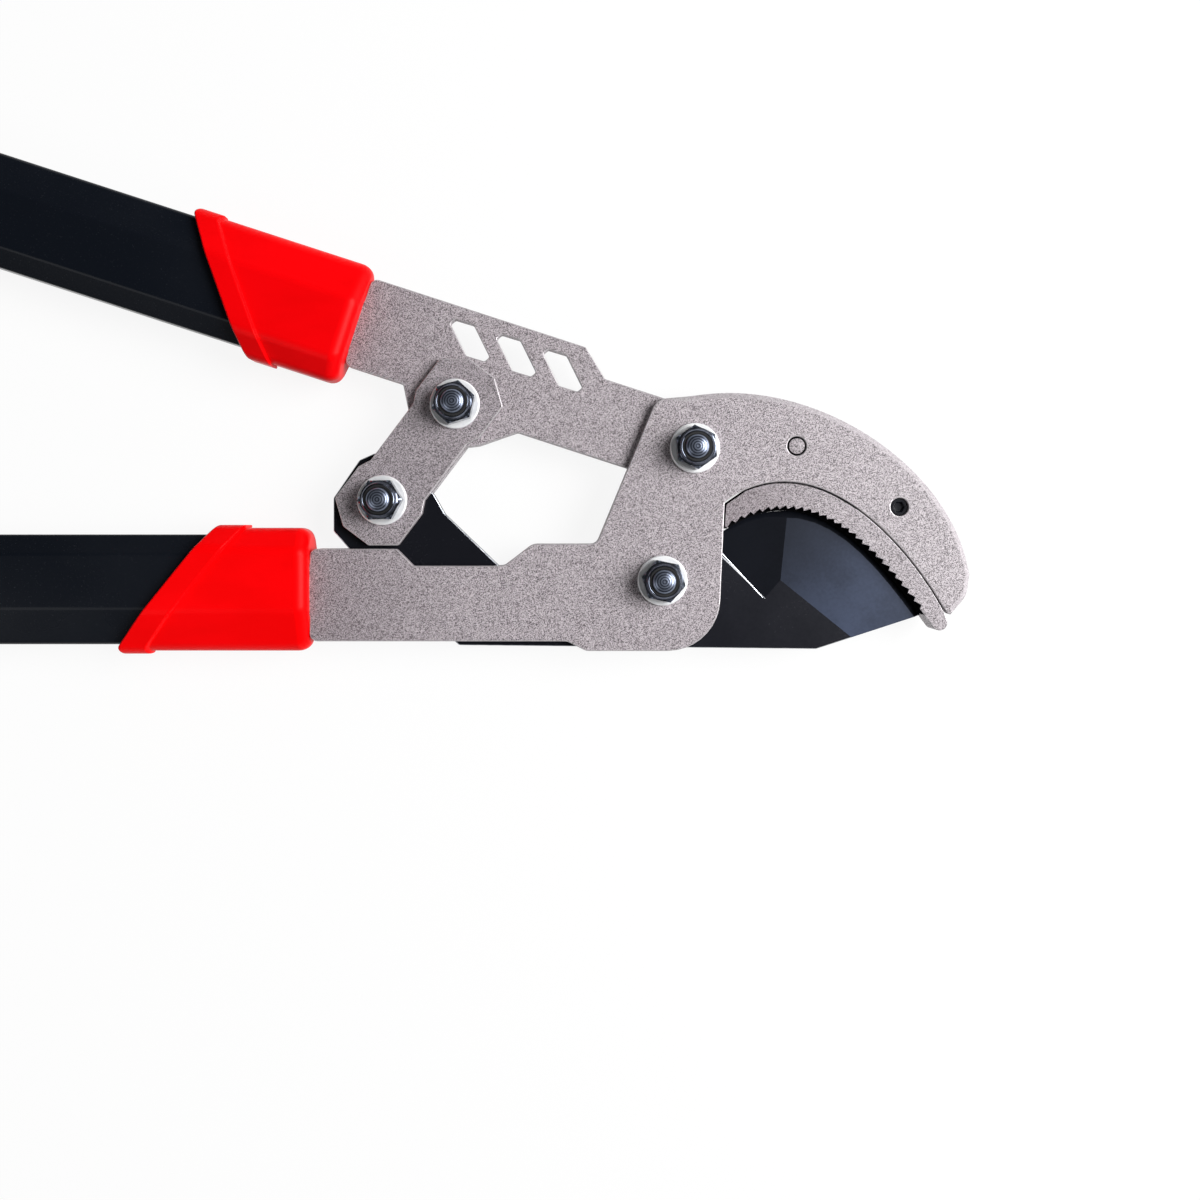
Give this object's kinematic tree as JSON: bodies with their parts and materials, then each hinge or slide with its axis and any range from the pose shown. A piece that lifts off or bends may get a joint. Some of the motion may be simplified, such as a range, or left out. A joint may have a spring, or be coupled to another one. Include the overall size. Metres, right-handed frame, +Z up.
{
  "type": "lopper",
  "caption": "Long-handled anvil lopper: a hooked jaw with a serrated anvil, a black blade whose tail is driven by a pair of links from the upper handle, red collars and black tubes",
  "frame": {"origin": "On the blade pivot's axis, on the outer face of its bolt head, on which the tool lies.", "axes": "+X runs along the lower handle toward the jaws, +Y across the jaws toward the upper handle, +Z up out of the plates toward the nuts."},
  "size_m": [0.755, 0.2894, 0.0286],
  "materials": {
    "coat_grey": "speckled taupe grey powder coat",
    "blade_black": "black low-friction coat with a bluish sheen",
    "screw_black": "black oxide",
    "tube_black": "glossy blue-black",
    "collar_red": "glossy moulded",
    "grip_rubber": "ribbed rubber",
    "cap_plastic": "moulded",
    "insert_plastic": "moulded",
    "ring_nylon": "nylon",
    "bush_bronze": "sintered bronze",
    "plain_steel": "plain",
    "zinc": "bright zinc plate"
  },
  "bodies": {
    "jaw": {"front_jaw_plate": "coat_grey", "rear_jaw_plate": "coat_grey", "serrated_anvil": "coat_grey", "anvil_rivet": "coat_grey", "anvil_screw": "screw_black", "tang_spacer": "plain_steel", "lower_tang_insert": "insert_plastic", "lower_tang_rivets": "plain_steel", "lower_tube": "tube_black", "lower_collar": "collar_red", "lower_grip": "grip_rubber", "lower_end_cap": "cap_plastic", "blade_pivot_bolt": "zinc", "blade_pivot_nut": "zinc", "blade_pivot_washers": "zinc", "blade_pivot_bush": "bush_bronze", "handle_pivot_bolt": "zinc", "handle_pivot_nut": "zinc", "handle_pivot_washers": "zinc", "handle_pivot_bush": "bush_bronze", "jaw_lock_rings": "ring_nylon"},
    "handle": {"upper_handle_plate": "coat_grey", "upper_tang_insert": "insert_plastic", "upper_tang_rivets": "plain_steel", "upper_tube": "tube_black", "upper_collar": "collar_red", "upper_grip": "grip_rubber", "upper_end_cap": "cap_plastic"},
    "link": {"front_link": "coat_grey", "rear_link": "coat_grey", "upper_link_bolt": "zinc", "upper_link_nut": "zinc", "upper_link_washers": "zinc", "upper_link_bush": "bush_bronze", "lower_link_bolt": "zinc", "lower_link_nut": "zinc", "lower_link_washers": "zinc", "lower_link_sleeve": "bush_bronze", "link_lock_rings": "ring_nylon"},
    "blade": {"blade": "blade_black"}
  },
  "joints": [
    {"name": "handle_pivot", "type": "hinge", "parent": "jaw", "child": "handle", "pos_m": [0.011, 0.045, 0], "axis": [0, 0, -1], "range_deg": [0, 105]},
    {"name": "blade_pivot", "type": "hinge", "parent": "jaw", "child": "blade", "pos_m": [0, 0, 0], "axis": [0, 0, -1], "range_deg": [0, 81]},
    {"name": "link_pivot", "type": "hinge", "parent": "handle", "child": "link", "pos_m": [-0.07049, 0.06003, 0], "axis": [0, 0, -1], "range_deg": [-92, 0]}
  ],
  "couplings": [
    {"joint": "blade_pivot", "follows": "handle_pivot", "ratio": 0.77},
    {"joint": "link_pivot", "follows": "handle_pivot", "ratio": -0.868}
  ]
}
